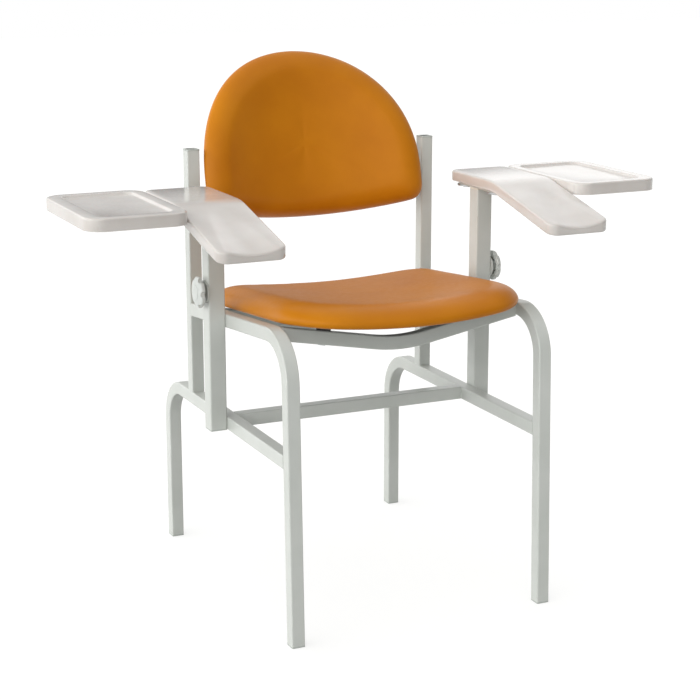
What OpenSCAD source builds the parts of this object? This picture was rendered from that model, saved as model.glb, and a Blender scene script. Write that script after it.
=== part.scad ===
// Phlebotomy chair: a bent square-tube frame, a saddle seat, a curved backrest and
// two height-adjustable arms, each with a sloping forearm rest and a side tray.
// Millimetres, +Z up, the chair faces -Y, X = 0 is its mid-plane.

/* [Frame] */
// Side of the square frame tube
tube = 25; // [22:1:28]
// Wall of the frame tube
tube_wall = 1.5; // [1.2:0.1:2.2]
// Outer corner radius of the frame tube
tube_corner = 2.5; // [2:0.1:3.5]
// Width over the outer faces of the side frames
frame_width = 524; // [500:2:560]
// Depth from the front feet to the back of the rear legs
frame_depth = 662; // [630:2:700]
// Height of the top of the lower side rails
rail_top = 346; // [320:2:370]
// Height at which the seat rail's top line would meet the front foot's plane
seat_rise = 570; // [550:2:600]
// Fall of the seat rails towards the back, degrees
seat_tilt = 5.2; // [3:0.1:7]
// Backward lean of the front legs, degrees
leg_lean = 1.85; // [0.5:0.05:3]
// Outer radius of the leg bends
leg_bend = 90; // [75:1:105]
// Height of the uprights with their caps
upright_top = 823; // [800:1:850]
// Front face of the uprights, from the front feet
upright_place = 494; // [480:1:510]
// Front face of the crossbar, from the front feet
crossbar_place = 312; // [290:1:330]

/* [Seat bars] */
// Slope of each half of a seat bar, degrees
bar_slope = 10.2; // [8:0.1:12]
// Centre-line radius of the bend in the middle of a seat bar
bar_bend = 290; // [240:5:320]
// Drop from the rail's top to the bar's top where they meet
bar_drop = 2.6; // [2:0.1:5]
// Middle of the front seat bar, along the seat rails
front_bar_place = 120; // [115:1:135]
// Middle of the rear seat bar, along the seat rails
rear_bar_place = 431; // [400:1:440]

/* [Seat] */
// Width of the seat cushion
seat_width = 474; // [455:1:485]
// Back edge of the cushion, along the seat rails
seat_back = 469; // [455:1:475]
// Front corners of the cushion, along the seat rails
seat_front = 37; // [30:1:45]
// How far the middle of the front edge bows forward of its corners
seat_bow = 36; // [20:1:36]
// Radius of the cushion's rear corners in plan
seat_rear_corner = 50; // [30:1:70]
// Radius of the cushion's front corners in plan
seat_front_corner = 88; // [60:1:110]
// Height of the cushion's sides over its middle, the saddle
seat_saddle = 16; // [6:1:20]
// How far the middle of the underside hangs below the rails' top plane
seat_hang = 12.4; // [8:0.2:14]
// Thickness of the seat at its crest
seat_thickness = 38; // [30:1:44]
// Width of the rolled edge
seat_roll = 41; // [30:1:48]
// Depth of the dish inside the crest
seat_dish = 5; // [2:0.5:8]
// Thickness of the seat board
seat_board_thickness = 8; // [6:0.5:12]

/* [Backrest] */
// Length of the backrest's back surface, measured round its curve
back_girth = 494; // [470:1:500]
// Radius of the backrest's back surface
back_radius = 400; // [380:2:430]
// Height of the backrest above its corners, along its lean
back_height = 312; // [295:1:330]
// Height at which the sides turn into the dome
back_shoulder = 66; // [50:1:85]
// Radius of the lower corners
back_corner = 24; // [15:1:35]
// How far the middle of the lower edge hangs below the corners
back_bow = 15.6; // [8:0.2:22]
// Backward lean of the backrest, degrees
back_lean = 14.3; // [10:0.1:18]
// Height of the backrest's lower corners
back_base = 686; // [670:1:700]
// Back of the backrest's middle at that height, from the front feet
back_place = 543.5; // [540:0.5:550]
// Thickness of the backrest at its crest
back_thickness = 38; // [34:1:42]
// Width of the rolled edge
back_roll = 40; // [30:1:46]
// Depth of the dish inside the crest
back_dish = 3; // [1:0.5:6]
// Thickness of the back board
back_board_thickness = 8; // [6:0.5:12]
// Distance from the back board to the bar behind it
back_bar_gap = 12; // [10:0.5:14]
// Middle of the bar, along the backrest's lean
back_bar_rise = 35; // [28:1:42]

/* [Arm posts] */
// Side of the square sleeve
sleeve = 32.5; // [31:0.5:34]
// Wall of the sleeve
sleeve_wall = 2.5; // [2:0.1:2.6]
// Outer corner radius of the sleeve
sleeve_corner = 3; // [2.7:0.1:4]
// Front face of the sleeve, from the front feet
sleeve_place = 304; // [295:1:315]
// Side of the square tube that slides in the sleeve
arm_tube = 25; // [24:0.5:25.5]
// Wall of the sliding tube
arm_tube_wall = 2; // [1.5:0.1:2.5]
// Height of the top of the sleeve's bush, where the bracket rests when the arm is down
arm_base = 741.5; // [720:0.5:760]
// Length of the sliding tube
arm_tube_length = 382; // [360:1:400]
// Height of the clamp knob's axis
knob_height = 585; // [560:1:610]

/* [Arm pad] */
// Width of the forearm rest
rest_width = 127; // [110:0.5:132]
// Length of the forearm rest in plan
rest_length = 391; // [370:1:400]
// Thickness of the forearm rest
rest_thickness = 20; // [18:0.5:24]
// Inner side of the forearm rest, from the mid-plane
rest_side = 254; // [248:0.5:262]
// Back end of the forearm rest, from the front feet
rest_back = 409; // [400:1:415]
// Place where the level and the sloping top would meet, from the front feet
rest_knee = 232; // [219:1:234]
// Fall of the sloping part, degrees
rest_fall = 13.4; // [10:0.1:16]
// Corner radius of the rest in plan
rest_corner = 20; // [12:1:30]
// Radius of the hollow for the forearm
trough_radius = 150; // [120:1:180]
// Depth of the hollow for the forearm at its open end
trough_depth = 7; // [3:0.5:8]
// Width of the tray
tray_width = 184; // [170:1:200]
// Length of the tray
tray_length = 286; // [270:1:300]
// Depth of the tray's skirt
tray_depth = 22.5; // [22:0.5:28]
// Gap between the tray and the forearm rest
tray_gap = 1; // [0.6:0.1:2]
// Back end of the tray, from the front feet
tray_back = 421; // [413:1:428]
// Corner radius of the tray in plan
tray_corner = 34; // [22:1:40]
// Wall of the tray's skirt
tray_wall = 5; // [4:0.5:7]
// Depth of the tray's recess
tray_recess = 4.5; // [3:0.5:6]

/* [Fittings] */
// Thickness of the arm's flat bracket
bracket_thickness = 4.5; // [4:0.1:6]
// Width of the arm's flat bracket
bracket_width = 32; // [28:0.5:34]
// Length of the arm's flat bracket
bracket_length = 156; // [140:1:158]
// Thickness of the straps under the tray
strap_thickness = 4; // [3:0.1:4]
// Width of the straps under the tray
strap_width = 30; // [24:1:34]
// Length of the straps under the tray
strap_length = 190; // [180:1:200]
// Diameter of the clamp knob
knob_diameter = 58; // [50:1:62]
// Thickness of the clamp knob
knob_thickness = 12; // [8:0.5:16]
// Diameter of the clamp stud
stud_diameter = 8; // [7:0.5:9]

/* [Hidden] */
$fn = 64;

// One overrun serves every cut.
overrun = 1;
corner_least = 0.5;

// End plugs of the legs, uprights and sleeves.
cap_lip = 3;
cap_depth = 18;
cap_clearance = 0.15;
cap_overhang = 0.4;

// Screws and bolts.
screw_radius = 3;
screw_clearance = 0.1;
screw_head_radius = 6.5;
screw_head = 3.5;
seat_screw_head = 1.5;
screw_bite = 12;
bolt_radius = 4;
bolt_head_radius = 9;
bolt_head = 3;
bolt_bite = 12;
washer_radius = 20;
washer_thickness = 3;
bore_end = 1.5;

// Shared places of the frame.
half_width = frame_width / 2;
rail_x = half_width - tube / 2;
inner_x = half_width - tube;
inner_side = tube - 2 * tube_wall;
inner_corner = max(tube_corner - tube_wall, corner_least);
bend_mid = leg_bend - tube / 2;
bend_det = cos(leg_lean - seat_tilt);
bend_reach = seat_rise * cos(seat_tilt) - leg_bend;
bend_y = (leg_bend * cos(seat_tilt) + sin(leg_lean) * bend_reach) / bend_det;
bend_z = (cos(leg_lean) * bend_reach - sin(seat_tilt) * leg_bend) / bend_det;
leg_run = bend_z / cos(leg_lean) + tube;
rail_run = (upright_place - bend_y) / cos(seat_tilt) + tube;
rear_bend = [frame_depth - leg_bend, rail_top - leg_bend];

// Shared places of the arm. The right arm is drawn and the left one mirrored.
sleeve_inner = sleeve - 2 * sleeve_wall;
sleeve_inner_corner = max(sleeve_corner - sleeve_wall, corner_least);
post_x = half_width + sleeve / 2;
post_y = sleeve_place + sleeve / 2;
bush_flange = 3;
bush_depth = 30;
glide = 0.1;
bush_seat = 0.05;
arm_tube_corner = 2.5;
arm_tube_bottom = arm_base - arm_tube_length;
plug_flange = 6;
rest_bottom = arm_base + bracket_thickness;
rest_top = rest_bottom + rest_thickness;
rest_x = rest_side + rest_width / 2;
rest_edge = 6;
corner_ease = 0.5;
bracket_back = 394;
bracket_bolt_inset = 20;
bracket_bolt_places = [bracket_back - bracket_bolt_inset,
                       bracket_back - bracket_length + bracket_bolt_inset];
tray_side = rest_side + rest_width + tray_gap;
tray_x = tray_side + tray_width / 2;
tray_y = tray_back - tray_length / 2;
tray_bottom = rest_top - tray_depth;
tray_panel = 4.5;
tray_rim_inner = 22;
tray_rim_outer = 25;
tray_rim_back = 19;
tray_rim_front = 23;
tray_recess_corner = 14;
tray_edge = 3;
strap_places = [262, 356];
strap_side = 310;
strap_corner = 5;
strap_fit = 0.3;
strap_margin = 15;
rest_screw_pitch = 36;
tray_screw_pitch = 50;
boss_radius = 9;

// The clamp, along the axis of its stud.
nut_flange_radius = 21;
nut_flange = 3;
nut_radius = 10;
nut_height = 7;
stud_running = 0.05;
pad_radius = 5;
pad_thickness = 2.2;
pad_running = 0.05;
pad_hole_clearance = 0.25;
knob_gap = 3;
knob_lobes = 6;
knob_scallop = 7;
knob_scallop_bite = 5;
knob_rim = 6;
knob_web = 5;
knob_crown = knob_thickness / 2;
knob_hub_radius = 11;
knob_hub_short = 1;
stud_hold = knob_thickness - knob_hub_short - knob_web;
sleeve_face = half_width + sleeve;
pad_foot = post_x + arm_tube / 2 + pad_running;
stud_foot = pad_foot + pad_thickness;
knob_foot = sleeve_face + nut_height + knob_gap;

// Soft forms share a clearance to their boards and an inset of the boards.
pad_gap = 0.3;
board_inset = 12;
lip_inset = 5;
lip_rise = 1.5;
side_rise = 7;
rim_steps = 6;
face_steps = 5;

// Seat, in the plane of the rails' tops.
seat_radius = (pow(seat_width / 2, 2) + pow(seat_saddle, 2)) / (2 * seat_saddle);
seat_axis = seat_radius - seat_hang;
seat_screw_place = 150;
boss_wide = 13;

// Backrest, in the plane of its lean.
back_bar_radius = back_radius + back_bar_gap;
plate_width = 40;
plate_thickness = 4;
plate_height = 95;
plate_corner = 5;
plate_place = 110;
plate_screw_rises = [62, 105];
plate_foot = back_bar_rise - tube / 2;
plate_back = sqrt(pow(back_bar_radius, 2) - pow(plate_width / 2, 2));
plate_turn = asin(plate_place / back_bar_radius);

// Places and helpers.

module placed() {
    translate([0, -frame_depth / 2, 0]) children();
}

module left() {
    mirror([1, 0, 0]) placed() children();
}

module right() {
    placed() children();
}

module both() {
    left() children();
    right() children();
}

// Draws in the plane of Y and Z, and what is extruded runs along X.
module side_plane() {
    rotate([90, 0, 90]) children();
}

// Draws in the plane of X and Z.
module front_plane() {
    rotate([90, 0, 0]) children();
}

module rounded_rect(wide, deep, corner) {
    union() {
        square([wide, deep - 2 * corner], center = true);
        square([wide - 2 * corner, deep], center = true);
        for (i = [-1, 1]) {
            for (j = [-1, 1]) {
                translate([i * (wide / 2 - corner), j * (deep / 2 - corner)]) circle(r = corner);
            }
        }
    }
}

// A section bent about a centre, between two angles in the drawing plane, with a straight
// length before the bend and one after it. The section's X points out of the bend.
module bent(centre, radius, from, to, before, after) {
    translate([centre[0], centre[1], 0]) rotate([0, 0, from]) {
        translate([radius, 0, 0]) rotate([90, 0, 0]) linear_extrude(height = before) children();
        rotate_extrude(angle = to - from) translate([radius, 0]) children();
        rotate([0, 0, to - from]) translate([radius, 0, 0]) rotate([-90, 0, 0])
            linear_extrude(height = after) children();
    }
}

// An end plug with its lip on top and its body below.
module plug(side, wall, corner, over) {
    inner = side - 2 * wall - 2 * cap_clearance;
    union() {
        linear_extrude(height = cap_lip) rounded_rect(side + 2 * over, side + 2 * over, corner);
        translate([0, 0, -cap_depth]) linear_extrude(height = cap_depth + cap_lip / 2)
            rounded_rect(inner, inner, max(corner - wall, corner_least));
    }
}

// A screw or bolt with its seat at zero, its head below and its shank above.
module fastener(radius, head_radius, head, reach) {
    translate([0, 0, -head]) cylinder(r = head_radius, h = head);
    translate([0, 0, -head / 2]) cylinder(r = radius, h = reach + head / 2);
}

// Bent side tubes.

module front_path(side, corner, past) {
    translate([rail_x, 0, 0]) side_plane()
        bent([bend_y, bend_z], bend_mid, 90 - seat_tilt, 180 - leg_lean,
             rail_run + past, leg_run + past)
        rounded_rect(side, side, corner);
}

module front_tube() {
    intersection() {
        difference() {
            front_path(tube, tube_corner, 0);
            front_path(inner_side, inner_corner, overrun);
        }
        translate([rail_x - tube, -tube, cap_lip])
            cube([2 * tube, upright_place + tube, seat_rise]);
    }
}

module rear_path(side, corner, past) {
    translate([rail_x, 0, 0]) side_plane()
        bent(rear_bend, bend_mid, 0, 90, rear_bend[1] + past, rear_bend[0] + past)
        rounded_rect(side, side, corner);
}

module rear_tube() {
    difference() {
        rear_path(tube, tube_corner, 0);
        rear_path(inner_side, inner_corner, overrun);
        // The rail's front end is cut to the back of the leaning leg.
        rotate([-leg_lean, 0, 0]) translate([rail_x - tube, -frame_depth, 0])
            cube([2 * tube, frame_depth + tube, seat_rise]);
        translate([rail_x - tube, 0, cap_lip - seat_rise])
            cube([2 * tube, frame_depth + tube, seat_rise]);
    }
}

module upright() {
    height = upright_top - cap_lip - rail_top;
    translate([rail_x, upright_place + tube / 2, rail_top]) linear_extrude(height = height)
        difference() {
            rounded_rect(tube, tube, tube_corner);
            rounded_rect(inner_side, inner_side, inner_corner);
        }
}

module upright_cap() {
    translate([rail_x, upright_place + tube / 2, upright_top - cap_lip])
        plug(tube, tube_wall, tube_corner, cap_overhang);
}

module foot_cap_slab(low, high) {
    translate([rail_x - tube, -tube, low])
        cube([2 * tube, frame_depth + 2 * tube, high - low]);
}

module front_foot_cap() {
    plug_side = inner_side - 2 * cap_clearance;
    intersection() {
        front_path(tube, tube_corner, 0);
        foot_cap_slab(0, cap_lip);
    }
    intersection() {
        front_path(plug_side, inner_corner, 0);
        foot_cap_slab(cap_lip / 2, cap_lip + cap_depth);
    }
}

module rear_foot_cap() {
    translate([rail_x, frame_depth - tube / 2, cap_lip]) mirror([0, 0, 1])
        plug(tube, tube_wall, tube_corner, 0);
}

// Cross members.

module crossbar() {
    translate([-inner_x, crossbar_place + tube / 2, rail_top - tube / 2]) rotate([0, 90, 0])
        linear_extrude(height = 2 * inner_x) difference() {
            rounded_rect(tube, tube, tube_corner);
            rounded_rect(inner_side, inner_side, inner_corner);
        }
}

// The seat's own plane: Y runs along the rails and Z = 0 is their top.
module seat_plane() {
    translate([0, 0, seat_rise]) rotate([-seat_tilt, 0, 0]) children();
}

bar_end = -bar_drop - tube / 2;
bar_apex = bar_end - inner_x * tan(bar_slope);
bar_turn_x = bar_bend * sin(bar_slope);
bar_turn_z = bar_apex + bar_turn_x * tan(bar_slope);
bar_centre = bar_turn_z + bar_bend * cos(bar_slope);
bar_run = (half_width - bar_turn_x) / cos(bar_slope);

module bar_path(side, corner, past) {
    front_plane()
        bent([0, bar_centre], bar_bend, 270 - bar_slope, 270 + bar_slope,
             bar_run + past, bar_run + past)
        rounded_rect(side, side, corner);
}

// The line of a seat screw, square to the bar, with zero on the bar's top face.
module seat_screw_line(place) {
    for (i = [-1, 1]) {
        translate([i * seat_screw_place, place,
                   bar_end - (inner_x - seat_screw_place) * tan(bar_slope)])
            rotate([0, -i * bar_slope, 0]) translate([0, 0, tube / 2]) children();
    }
}

module seat_bar(place) {
    seat_plane() difference() {
        intersection() {
            translate([0, place, 0]) difference() {
                bar_path(tube, tube_corner, 0);
                bar_path(inner_side, inner_corner, overrun);
            }
            translate([-inner_x, place - tube, bar_apex - tube])
                cube([2 * inner_x, 2 * tube, tube - bar_apex]);
        }
        seat_screw_line(place) translate([0, 0, -tube - overrun])
            cylinder(r = screw_radius + screw_clearance, h = tube + 2 * overrun);
    }
}

// The backrest's own plane: Z runs up its lean and Y = 0 is the back of its middle.
module back_plane() {
    translate([0, back_place, back_base]) rotate([-back_lean, 0, 0]) children();
}

module back_bar() {
    back_plane() translate([0, -back_radius, back_bar_rise]) intersection() {
        difference() {
            rotate([0, 0, 45]) rotate_extrude(angle = 90)
                translate([back_bar_radius + tube / 2, 0]) rounded_rect(tube, tube, tube_corner);
            rotate([0, 0, 44]) rotate_extrude(angle = 92)
                translate([back_bar_radius + tube / 2, 0])
                rounded_rect(inner_side, inner_side, inner_corner);
        }
        translate([-inner_x, 0, -tube]) cube([2 * inner_x, 2 * back_radius, 2 * tube]);
    }
}

// The line of a plate, with zero on the back face of the plate and Y pointing backwards.
module plate_line() {
    for (i = [-1, 1]) {
        translate([0, -back_radius, 0]) rotate([0, 0, -i * plate_turn])
            translate([0, plate_back, 0]) children();
    }
}

module plate_screw_lines() {
    plate_line() for (rise = plate_screw_rises) {
        translate([0, 0, rise]) rotate([90, 0, 0]) children();
    }
}

module back_plates() {
    back_plane() difference() {
        plate_line() translate([0, 0, plate_foot + plate_height / 2]) rotate([90, 0, 0])
            linear_extrude(height = plate_thickness)
            rounded_rect(plate_width, plate_height, plate_corner);
        plate_screw_lines() translate([0, 0, -overrun])
            cylinder(r = screw_radius + screw_clearance, h = plate_thickness + 2 * overrun);
    }
}

// Outlines of the two pads, counted round from the right side.

function arc_points(centre, radius, from, to, steps) =
    [for (i = [0 : steps]) let (a = from + (to - from) * i / steps)
        [centre[0] + radius * cos(a), centre[1] + radius * sin(a)]];

function line_points(a, b, steps) =
    [for (i = [1 : steps - 1]) a + (b - a) * i / steps];

seat_half = seat_width / 2;
seat_square =
    concat(
        arc_points([seat_half - seat_rear_corner, seat_back - seat_rear_corner],
                   seat_rear_corner, 0, 90, 5),
        line_points([seat_half - seat_rear_corner, seat_back],
                    [seat_rear_corner - seat_half, seat_back], 10),
        arc_points([seat_rear_corner - seat_half, seat_back - seat_rear_corner],
                   seat_rear_corner, 90, 180, 5),
        line_points([-seat_half, seat_back - seat_rear_corner],
                    [-seat_half, seat_front + seat_front_corner], 7),
        arc_points([seat_front_corner - seat_half, seat_front + seat_front_corner],
                   seat_front_corner, 180, 270, 7),
        line_points([seat_front_corner - seat_half, seat_front],
                    [seat_half - seat_front_corner, seat_front], 8),
        arc_points([seat_half - seat_front_corner, seat_front + seat_front_corner],
                   seat_front_corner, 270, 360, 7),
        line_points([seat_half, seat_front + seat_front_corner],
                    [seat_half, seat_back - seat_rear_corner], 7)
    );
seat_outline = [for (p = seat_square)
    [p[0], p[1] - seat_bow * (1 - pow(p[0] / seat_half, 2))
           * (seat_back - p[1]) / (seat_back - seat_front)]];

back_half = back_girth / 2;
back_square =
    concat(
        [for (i = [0 : 30]) let (a = 180 * i / 30)
            [back_half * cos(a), back_shoulder + (back_height - back_shoulder) * sin(a)]],
        line_points([-back_half, back_shoulder], [-back_half, back_corner], 3),
        arc_points([back_corner - back_half, back_corner], back_corner, 180, 270, 4),
        line_points([back_corner - back_half, 0], [back_half - back_corner, 0], 14),
        arc_points([back_half - back_corner, back_corner], back_corner, 270, 360, 4),
        line_points([back_half, back_corner], [back_half, back_shoulder], 3)
    );
back_outline = [for (p = back_square)
    [p[0], p[1] - back_bow * (1 - pow(p[0] / back_half, 2))
           * max(0, 1 - p[1] / back_shoulder)]];

// The outline drawn in by an inset, towards a middle, as [x, y].
function drawn_in(outline, half, middle, half_long, inset) =
    [for (p = outline) [p[0] * (half - inset) / half,
        middle + (p[1] - middle) * (half_long - inset) / half_long]];

function shrunk(points, middle, share) =
    [for (p = points) [p[0] * share, middle + (p[1] - middle) * share]];

// Layers of a pad, as [inset, height], from the edge of its board over the rim to the crest.
function rim_layers(thick, roll, board) = concat(
    [[board_inset - pad_gap, board + pad_gap], [board_inset - pad_gap, lip_rise], [lip_inset, 0]],
    [for (i = [0 : rim_steps]) let (a = 90 * i / rim_steps)
        [roll * (1 - cos(a)), side_rise + (thick - side_rise) * sin(a)]]);

// Rings of a pad as [x, y, height], the two ends being shrunk rings of the first and last.
function pad_rings(outline, half, middle, half_long, thick, roll, board, dish) =
    let (layers = rim_layers(thick, roll, board),
         first = drawn_in(outline, half, middle, half_long, layers[0][0]),
         last = drawn_in(outline, half, middle, half_long, roll))
    concat(
        [for (i = [1 : face_steps - 1]) let (k = i / face_steps)
            [for (p = shrunk(first, middle, k)) [p[0], p[1], layers[0][1]]]],
        [for (l = layers) [for (p = drawn_in(outline, half, middle, half_long, l[0]))
            [p[0], p[1], l[1]]]],
        [for (i = [1 : face_steps - 1]) let (k = 1 - i / face_steps)
            [for (p = shrunk(last, middle, k)) [p[0], p[1], thick - dish * (1 - k * k)]]]);

// Faces of a closed skin over rings of n points, with a point at each end.
function skin_faces(n, rings) = concat(
    [for (i = [0 : n - 1]) [0, 1 + (i + 1) % n, 1 + i]],
    [for (r = [0 : rings - 2]) for (i = [0 : n - 1])
        let (a = 1 + r * n + i, b = 1 + r * n + (i + 1) % n) [a, b, b + n]],
    [for (r = [0 : rings - 2]) for (i = [0 : n - 1])
        let (a = 1 + r * n + i, b = 1 + r * n + (i + 1) % n) [a, b + n, a + n]],
    [for (i = [0 : n - 1]) let (base = 1 + (rings - 1) * n)
        [base + i, base + (i + 1) % n, base + n]]);

// Seat.

function saddle(p) = [p[0], p[1], p[2] + seat_axis - sqrt(pow(seat_radius, 2) - p[0] * p[0])];

module seat_cushion_form() {
    middle = (seat_back + seat_front) / 2;
    half_long = (seat_back - seat_front) / 2;
    rings = pad_rings(seat_outline, seat_half, middle, half_long, seat_thickness, seat_roll,
                      seat_board_thickness, seat_dish);
    n = len(seat_outline);
    points = concat([[0, middle, seat_board_thickness + pad_gap]], [for (r = rings) each r],
                    [[0, middle, seat_thickness - seat_dish]]);
    polyhedron([for (p = points) saddle(p)], skin_faces(n, len(rings)));
}

module seat_cushion() {
    placed() seat_plane() seat_cushion_form();
}

module seat_tunnel(radius) {
    translate([0, -seat_back, seat_axis]) rotate([-90, 0, 0])
        cylinder(r = radius, h = 3 * seat_back, $fn = 180);
}

module seat_board() {
    middle = (seat_back + seat_front) / 2;
    half_long = (seat_back - seat_front) / 2;
    bore = seat_hang + seat_board_thickness;
    placed() seat_plane() difference() {
        union() {
            intersection() {
                translate([0, 0, -seat_hang - overrun]) linear_extrude(height = 2 * seat_thickness)
                    polygon(drawn_in(seat_outline, seat_half, middle, half_long, board_inset));
                difference() {
                    seat_tunnel(seat_radius);
                    seat_tunnel(seat_radius - seat_board_thickness);
                }
            }
            difference() {
                for (place = [front_bar_place, rear_bar_place]) {
                    seat_screw_line(place) cylinder(r = boss_wide, h = seat_thickness);
                }
                seat_tunnel(seat_radius - seat_board_thickness / 2);
            }
        }
        for (place = [front_bar_place, rear_bar_place]) {
            seat_screw_line(place) translate([0, 0, -overrun])
                cylinder(r = screw_radius + screw_clearance, h = screw_bite + bore_end + overrun);
        }
    }
}

module seat_screws() {
    placed() seat_plane() for (place = [front_bar_place, rear_bar_place]) {
        seat_screw_line(place) translate([0, 0, -tube])
            fastener(screw_radius, screw_head_radius, seat_screw_head, tube + screw_bite);
    }
}

// Backrest.

function wrapped(p, radius) = let (a = p[0] / back_radius * 180 / PI)
    [(back_radius - p[2]) * sin(a), (back_radius - p[2]) * cos(a) - back_radius, p[1]];

module back_cushion() {
    middle = (back_height + back_shoulder) / 3;
    half_long = back_height / 2;
    rings = pad_rings(back_outline, back_half, middle, half_long, back_thickness, back_roll,
                      back_board_thickness, back_dish);
    n = len(back_outline);
    points = concat([[0, middle, back_board_thickness + pad_gap]], [for (r = rings) each r],
                    [[0, middle, back_thickness - back_dish]]);
    placed() back_plane() polyhedron([for (p = points) wrapped(p)], skin_faces(n, len(rings)));
}

module back_drum(radius, height, foot) {
    translate([0, -back_radius, foot]) cylinder(r = radius, h = height, $fn = 180);
}

// The board's outline on the wrapped surface, as seen from the front.
back_board_outline = [for (p = drawn_in(back_outline, back_half, (back_height + back_shoulder) / 3,
                                        back_height / 2, board_inset))
    [(back_radius - back_board_thickness - pad_gap) * sin(p[0] / back_radius * 180 / PI), p[1]]];

module back_board() {
    placed() back_plane() difference() {
        union() {
            intersection() {
                translate([0, overrun, 0]) rotate([90, 0, 0])
                    linear_extrude(height = back_radius / 2) polygon(back_board_outline);
                difference() {
                    back_drum(back_radius, 2 * back_height, -back_height / 2);
                    back_drum(back_radius - back_board_thickness, 3 * back_height, -back_height);
                }
            }
            difference() {
                plate_screw_lines() translate([0, 0, plate_thickness])
                    cylinder(r = boss_wide, h = back_bar_gap + back_board_thickness);
                back_drum(back_radius - back_board_thickness / 2, 3 * back_height, -back_height);
            }
        }
        plate_screw_lines() translate([0, 0, plate_thickness - overrun])
            cylinder(r = screw_radius + screw_clearance,
                     h = screw_bite + overrun - screw_clearance);
    }
}

module back_screws() {
    placed() back_plane() plate_screw_lines()
        fastener(screw_radius, screw_head_radius, screw_head,
                 plate_thickness + screw_bite - bore_end);
}

// Arm post: the sleeve, its fittings, and the sliding tube.

module at_post(height) {
    translate([post_x, post_y, height]) children();
}

module knob_axis(place) {
    translate([place, post_y, knob_height]) rotate([0, 90, 0]) children();
}

module arm_sleeve() {
    bottom = rail_top - tube + cap_lip;
    difference() {
        at_post(bottom) linear_extrude(height = arm_base - bush_flange - bottom) difference() {
            rounded_rect(sleeve, sleeve, sleeve_corner);
            rounded_rect(sleeve_inner, sleeve_inner, sleeve_inner_corner);
        }
        knob_axis(sleeve_face - sleeve_wall - overrun)
            cylinder(r = pad_radius + pad_hole_clearance, h = sleeve_wall + 2 * overrun);
    }
}

module sleeve_cap() {
    at_post(rail_top - tube + cap_lip) mirror([0, 0, 1])
        plug(sleeve, sleeve_wall, sleeve_corner, 0);
}

module glide_bush() {
    outer = sleeve_inner - 2 * bush_seat;
    inner = arm_tube + 2 * glide;
    at_post(arm_base - bush_flange) difference() {
        union() {
            linear_extrude(height = bush_flange) rounded_rect(sleeve, sleeve, sleeve_corner);
            translate([0, 0, -bush_depth]) linear_extrude(height = bush_depth + bush_flange / 2)
                rounded_rect(outer, outer, sleeve_inner_corner);
        }
        translate([0, 0, -bush_depth - overrun])
            linear_extrude(height = bush_depth + bush_flange + 2 * overrun)
            rounded_rect(inner, inner, arm_tube_corner);
    }
}

module clamp_nut() {
    difference() {
        union() {
            knob_axis(sleeve_face) cylinder(r = nut_flange_radius, h = nut_flange);
            knob_axis(sleeve_face) cylinder(r = nut_radius, h = nut_height);
        }
        knob_axis(sleeve_face - overrun)
            cylinder(r = stud_diameter / 2 + stud_running, h = nut_height + 2 * overrun);
    }
}

module arm_tube_piece() {
    inner = arm_tube - 2 * arm_tube_wall;
    at_post(arm_tube_bottom) linear_extrude(height = arm_tube_length) difference() {
        rounded_rect(arm_tube, arm_tube, arm_tube_corner);
        rounded_rect(inner, inner, max(arm_tube_corner - arm_tube_wall, corner_least));
    }
}

module tube_plug() {
    outer = sleeve_inner - 2 * glide;
    inner = arm_tube - 2 * arm_tube_wall - 2 * cap_clearance;
    at_post(arm_tube_bottom) union() {
        translate([0, 0, -plug_flange]) linear_extrude(height = plug_flange)
            rounded_rect(outer, outer, sleeve_inner_corner);
        translate([0, 0, -plug_flange / 2]) linear_extrude(height = cap_depth)
            rounded_rect(inner, inner, corner_least);
    }
}

// Arm top.

module bolt_lines() {
    for (place = bracket_bolt_places) {
        translate([post_x, place, arm_base]) children();
    }
}

module arm_bracket() {
    difference() {
        translate([post_x, bracket_back - bracket_length / 2, arm_base])
            linear_extrude(height = bracket_thickness) union() {
                square([bracket_width, bracket_length - bracket_width], center = true);
                for (i = [-1, 1]) {
                    translate([0, i * (bracket_length - bracket_width) / 2])
                        circle(r = bracket_width / 2);
                }
            }
        bolt_lines() translate([0, 0, -overrun])
            cylinder(r = bolt_radius + screw_clearance, h = bracket_thickness + 2 * overrun);
    }
}

module bracket_washers() {
    difference() {
        bolt_lines() translate([0, 0, -washer_thickness])
            cylinder(r = washer_radius, h = washer_thickness);
        bolt_lines() translate([0, 0, -washer_thickness - overrun])
            cylinder(r = bolt_radius + screw_clearance, h = washer_thickness + 2 * overrun);
    }
}

module bracket_bolts() {
    bolt_lines() translate([0, 0, -washer_thickness])
        fastener(bolt_radius, bolt_head_radius, bolt_head,
                 washer_thickness + bracket_thickness + bolt_bite);
}

// The rest's section: its sides run far down, its top edges are rounded.
module rest_section() {
    across = rest_width / 2;
    translate([-across, -rest_length]) square([rest_width, rest_length - rest_edge]);
    translate([rest_edge - across, -rest_length])
        square([rest_width - 2 * rest_edge, rest_length]);
    for (i = [-1, 1])
        translate([i * (across - rest_edge), -rest_edge]) circle(r = rest_edge);
}

// Two long blocks of that section, level and sloping, whose tops meet at the knee. They share
// one frame there, turned half the fall, so that they mirror each other.
module rest_blocks() {
    translate([rest_x, rest_knee, rest_top]) rotate([rest_fall / 2, 0, 0])
        intersection_for(i = [-1, 1]) rotate([i * rest_fall / 2, 0, 0])
        translate([0, rest_length, 0]) rotate([90, 0, 0])
        linear_extrude(height = 2 * rest_length) rest_section();
}

// The underside, level behind the knee and sloping in front of it, seen from the side.
low_knee = rest_knee + rest_thickness * tan(rest_fall / 2);
module rest_underside() {
    past = rest_back + overrun;
    polygon([[past, rest_bottom], [low_knee, rest_bottom],
             [-overrun, rest_bottom - (low_knee + overrun) * tan(rest_fall)],
             [-overrun, 0], [past, 0]]);
}

// Where the hollow for the forearm runs out on the sloping part.
trough_place = 205;
trough_past = 60;
trough_sink = atan(trough_depth / (rest_length - rest_back + trough_place));

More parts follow.
